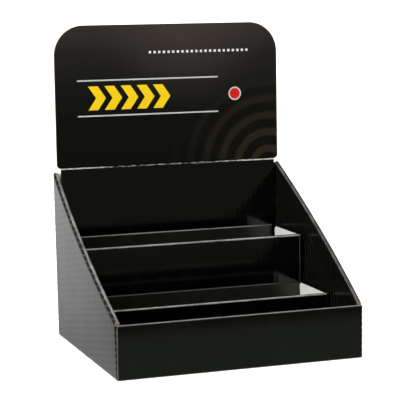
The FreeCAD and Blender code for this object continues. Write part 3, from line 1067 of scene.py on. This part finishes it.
@dataclass
class HeaderMotifs:
    """Plain printed shapes on the header: a row of arrowheads between two lines, a ringed disc and dots."""

    score_height: float = SCORE_HEIGHT
    lean: float = math.radians(0.9)
    face: float = 108.5 * MM
    film: float = 0.05 * MM
    arrow_count: int = 5
    arrow_width: float = 11 * MM
    arrow_height: float = 26 * MM
    arrow_slant: float = 9 * MM
    arrow_pitch: float = 18.5 * MM
    arrow_start: float = -92 * MM
    arrow_foot: float = 62 * MM
    line_left: float = -104 * MM
    line_right: float = 58 * MM
    line_width: float = 1.5 * MM
    line_gap: float = 7 * MM
    disc_radius: float = 6 * MM
    ring_width: float = 1.5 * MM
    disc_across: float = 78 * MM
    disc_sides: int = 48
    dot_count: int = 22
    dot_size: float = 2.6 * MM
    dot_pitch: float = 5.4 * MM
    dot_start: float = -22 * MM
    dot_height: float = 122 * MM

    def add_rectangle(self, left: float, low: float, width: float, height: float) -> bpy.types.Object:
        """Add a flat rectangle in the header's plane.

        Args:
            left: Its left edge from the header's middle.
            low: Its lower edge above the score.
            width: Its width.
            height: Its height.

        Returns:
            The flat shape.
        """
        bpy.ops.mesh.primitive_plane_add(size=1, location=(left + width / 2, low + height / 2, 0))
        shape = bpy.context.object
        shape.scale = (width, height, 1)
        bpy.ops.object.transform_apply(location=True, rotation=True, scale=True)
        return shape

    def add_arrowhead(self, left: float) -> bpy.types.Object:
        """Add one arrowhead: a leaning bar, and the same bar leaning back above it.

        Args:
            left: The left end of its foot.

        Returns:
            The flat shape.
        """
        half = self.arrow_height / 2
        shape = self.add_rectangle(left, self.arrow_foot, self.arrow_width, half)
        bpy.ops.object.mode_set(mode="EDIT")
        bpy.ops.mesh.select_all(action="DESELECT")
        bpy.ops.mesh.select_mode(type="EDGE")
        mesh = bmesh.from_edit_mesh(shape.data)
        top = max(mesh.edges, key=lambda edge: sum(v.co.y for v in edge.verts))
        top.select_set(True)
        bmesh.update_edit_mesh(shape.data)
        bpy.ops.transform.translate(value=(self.arrow_slant, 0, 0))
        bpy.ops.mesh.extrude_region_move(TRANSFORM_OT_translate={"value": (-self.arrow_slant, half, 0)})
        bpy.ops.object.mode_set(mode="OBJECT")
        return shape

    def add_disc(self, radius: float, height: float, lift: float) -> bpy.types.Object:
        """Add a flat disc.

        Args:
            radius: Its radius.
            height: Its middle above the score.
            lift: Its place above the header's plane.

        Returns:
            The flat shape.
        """
        bpy.ops.mesh.primitive_circle_add(
            vertices=self.disc_sides, radius=radius, fill_type="NGON",
            location=(self.disc_across, height, lift))
        shape = bpy.context.object
        bpy.ops.object.transform_apply(location=True, rotation=True, scale=True)
        return shape

    def print_shapes(self, name: str, shapes: list[bpy.types.Object], ink: bpy.types.Material) -> None:
        """Join flat shapes into one printed piece and lay it on the header.

        Args:
            name: The piece's name.
            shapes: The flat shapes.
            ink: Their material.
        """
        select_only(shapes[0])
        for shape in shapes[1:]:
            shape.select_set(True)
        bpy.ops.object.join()
        piece = shapes[0]
        piece.name = name
        piece.data.materials.append(ink)
        thick = piece.modifiers.new("ink_film", "SOLIDIFY")
        thick.thickness = self.film
        thick.offset = 1
        bpy.ops.object.modifier_apply(modifier=thick.name)
        upright = Matrix.Rotation(math.pi / 2 - self.lean, 4, "X")
        piece.data.transform(Matrix.Translation((0, self.face, self.score_height)) @ upright)
        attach(piece, "root")
        LOG.info("%s: %d faces", piece.name, len(piece.data.polygons))

    def build(self) -> None:
        """Print the shapes."""
        yellow = SpotColour("gloss_film_on_yellow_spot", "#f3cc12").make()
        silver = SpotColour("gloss_film_on_silver_grey_spot", "#c4c4c4").make()
        red = SpotColour("gloss_film_on_red_spot", "#c81e1c").make()
        white = SpotColour("gloss_film_on_white_spot", "#e2e2df").make()
        starts = [self.arrow_start + count * self.arrow_pitch for count in range(self.arrow_count)]
        self.print_shapes("printed_arrowheads", [self.add_arrowhead(start) for start in starts], yellow)
        length = self.line_right - self.line_left
        middle = self.arrow_foot + self.arrow_height / 2
        low_line = self.arrow_foot - self.line_gap
        high_line = self.arrow_foot + self.arrow_height + self.line_gap - self.line_width
        grey_shapes = [self.add_rectangle(self.line_left, low, length, self.line_width)
                       for low in (low_line, high_line)]
        grey_shapes.append(self.add_disc(self.disc_radius + self.ring_width, middle, 0))
        self.print_shapes("printed_lines", grey_shapes, silver)
        self.print_shapes("printed_disc", [self.add_disc(self.disc_radius, middle, self.film)], red)
        dots = [self.add_rectangle(self.dot_start + count * self.dot_pitch, self.dot_height,
                                   self.dot_size, self.dot_size)
                for count in range(self.dot_count)]
        self.print_shapes("printed_dots", dots, white)


@dataclass(frozen=True)
class TonedCard:
    """A card on the floor that only mirroring faces see, so that black film takes its tones.

    Attributes:
        name: The card's name.
        tint: The colour of its paper.
        low: Its lowest corner on the floor.
        high: Its highest corner.
        way: The way along which its tones change.
        tones: Pairs of a distance along that way in metres and a brightness there.
        lift: Its height above the floor.
    """

    name: str
    tint: str
    low: tuple[float, float]
    high: tuple[float, float]
    way: tuple[float, float]
    tones: tuple[tuple[float, float], ...]
    lift: float = 1 * MM

    def make_paper(self) -> bpy.types.Material:
        """Build the card's toned paper.

        Returns:
            The finished material.
        """
        material, tree, place = start_material(self.name + "_paper")
        reach = add_node(tree, "ShaderNodeVectorMath", {
            0: place, 1: (*self.way, 0)}, operation="DOT_PRODUCT")
        light = self.tones[0][1]
        for (near, tone), (far, next_tone) in zip(self.tones, self.tones[1:]):
            change = add_node(tree, "ShaderNodeMapRange", {
                "Value": reach.outputs["Value"], "From Min": near, "From Max": far,
                "To Min": 0.0, "To Max": next_tone - tone})
            light = add_node(tree, "ShaderNodeMath", {
                0: light, 1: change.outputs[0]}, operation="ADD").outputs[0]
        shader = add_node(tree, "ShaderNodeEmission", {"Color": linear(self.tint), "Strength": light})
        end_material(tree, shader)
        return material

    def build(self) -> None:
        """Lay the card on the floor."""
        width = self.high[0] - self.low[0]
        length = self.high[1] - self.low[1]
        middle = (self.low[0] + width / 2, self.low[1] + length / 2, self.lift)
        bpy.ops.mesh.primitive_plane_add(size=1, location=middle)
        card = bpy.context.object
        card.name = self.name
        card.scale = (width, length, 1)
        bpy.ops.object.transform_apply(location=True, rotation=False, scale=True)
        card.data.materials.append(self.make_paper())
        card.visible_camera = card.visible_diffuse = card.visible_shadow = False


@dataclass(frozen=True)
class FarLight:
    """A far, wide and even light.

    Attributes:
        name: The light's name.
        source: The way from the stand to the light.
        width: Its width as an angle in degrees.
        power: Its power on a face turned to it.
    """

    name: str
    source: tuple[float, float, float]
    width: float
    power: float

    def build(self) -> None:
        """Hang the light."""
        data = bpy.data.lights.new(self.name, "SUN")
        data.angle = math.radians(self.width)
        data.energy = self.power
        light = bpy.data.objects.new(self.name, data)
        bpy.context.scene.collection.objects.link(light)
        light.matrix_world = (-Vector(self.source)).to_track_quat("-Z", "Y").to_matrix().to_4x4()


@dataclass
class Studio:
    """A pale floor, soft lights and the camera."""

    camera_place: Vector = Vector((-0.5572, -1.5593, 0.3830))
    camera_aim: Vector = Vector((-0.0070, -0.0095, 0.1575))
    camera_roll: float = math.radians(-0.65)
    lens: float = 143.5
    sensor: float = 36.0
    sight: float = 200.0
    floor_reach: float = 60.0
    floor_paper: str = "#f2f2f0"
    floor_fibre: str = "#efefed"
    floor_grain: float = 25 * MM
    floor_roughness: float = 0.9
    floor_shine: float = 0.1
    floor_glow: float = 0.45
    room_light: float = 0.22
    cards: tuple[TonedCard, ...] = (
        TonedCard(
            "dark_front_card", "#f2ffe1", low=(-30, -58), high=(30, -TRAY_DEPTH / 2), way=(0, -1),
            tones=((0.11, 0.34), (0.285, 0.32), (0.32, 0.11), (0.40, 0.10), (0.50, 0.17),
                   (1.30, 0.20), (2.2, 0.08))),
        TonedCard(
            "pale_side_card", "#ffffff", low=(-6, -0.1), high=(-0.126, 8), way=(-0.33, 0.94),
            tones=((0.1, 0.57), (0.3, 0.72), (0.6, 0.80), (1.2, 0.86), (3.0, 0.90))),
    )
    lights: tuple[FarLight, ...] = (
        FarLight("overhead_light", source=(0.30, -0.12, 1.0), width=48, power=2.4),
        FarLight("left_light", source=(-1.0, -0.25, 0.8), width=40, power=3.2),
    )

    def add_camera(self) -> None:
        """Place the camera at the photograph's angle."""
        lens = bpy.data.cameras.new("camera")
        lens.lens = self.lens
        lens.sensor_width = self.sensor
        lens.clip_end = self.sight
        camera = bpy.data.objects.new("camera", lens)
        bpy.context.scene.collection.objects.link(camera)
        aim = (self.camera_aim - self.camera_place).to_track_quat("-Z", "Y")
        turned = aim @ Quaternion(UP, self.camera_roll)
        camera.matrix_world = Matrix.Translation(self.camera_place) @ turned.to_matrix().to_4x4()
        bpy.context.scene.camera = camera

    def add_floor(self) -> None:
        """Lay the pale floor of matt white paper, faintly uneven."""
        bpy.ops.mesh.primitive_plane_add(size=2 * self.floor_reach)
        floor = bpy.context.object
        floor.name = "studio_floor"
        material, tree, place = start_material("matt_white_paper_sweep")
        grain = add_node(tree, "ShaderNodeTexNoise", {
            "Vector": place, "Scale": 1 / self.floor_grain, "Detail": GRAIN})
        tint = add_node(tree, "ShaderNodeMix", {
            "Factor": grain.outputs[0], "A": linear(self.floor_paper), "B": linear(self.floor_fibre)},
            data_type="RGBA")
        shader = add_node(tree, "ShaderNodeBsdfPrincipled", {
            "Base Color": tint.outputs["Result"], "Roughness": self.floor_roughness,
            "Specular IOR Level": self.floor_shine,
            "Emission Color": linear(self.floor_paper), "Emission Strength": self.floor_glow})
        end_material(tree, shader)
        floor.data.materials.append(material)

    def add_room(self) -> None:
        """Set the even light of the room and plain tones."""
        world = bpy.data.worlds.new("studio")
        world.use_nodes = True
        room = world.node_tree.nodes["Background"].inputs
        room["Color"].default_value = linear("#ffffff")
        room["Strength"].default_value = self.room_light
        bpy.context.scene.world = world
        bpy.context.scene.view_settings.view_transform = "Standard"

    def build(self) -> None:
        """Build the studio."""
        self.add_camera()
        self.add_floor()
        for item in (*self.cards, *self.lights):
            item.build()
        self.add_room()
        LOG.info("studio is set")


def main() -> None:
    """Build the stand's looks."""
    Studio().build()
    wardrobe = Wardrobe()
    wardrobe.fill()
    front_step = Step(
        "step_front", "front_step_sheet", flange_wear_and_highlight=Finish.SOUND_FOLD, end_wear=Finish.SOUND_FOLD)
    for sheet in (Tray(), HeaderCard(), Step("step_rear", "rear_step_sheet"), front_step):
        sheet.build(wardrobe)
    HeaderMotifs().build()


if __name__ == "__main__":
    main()
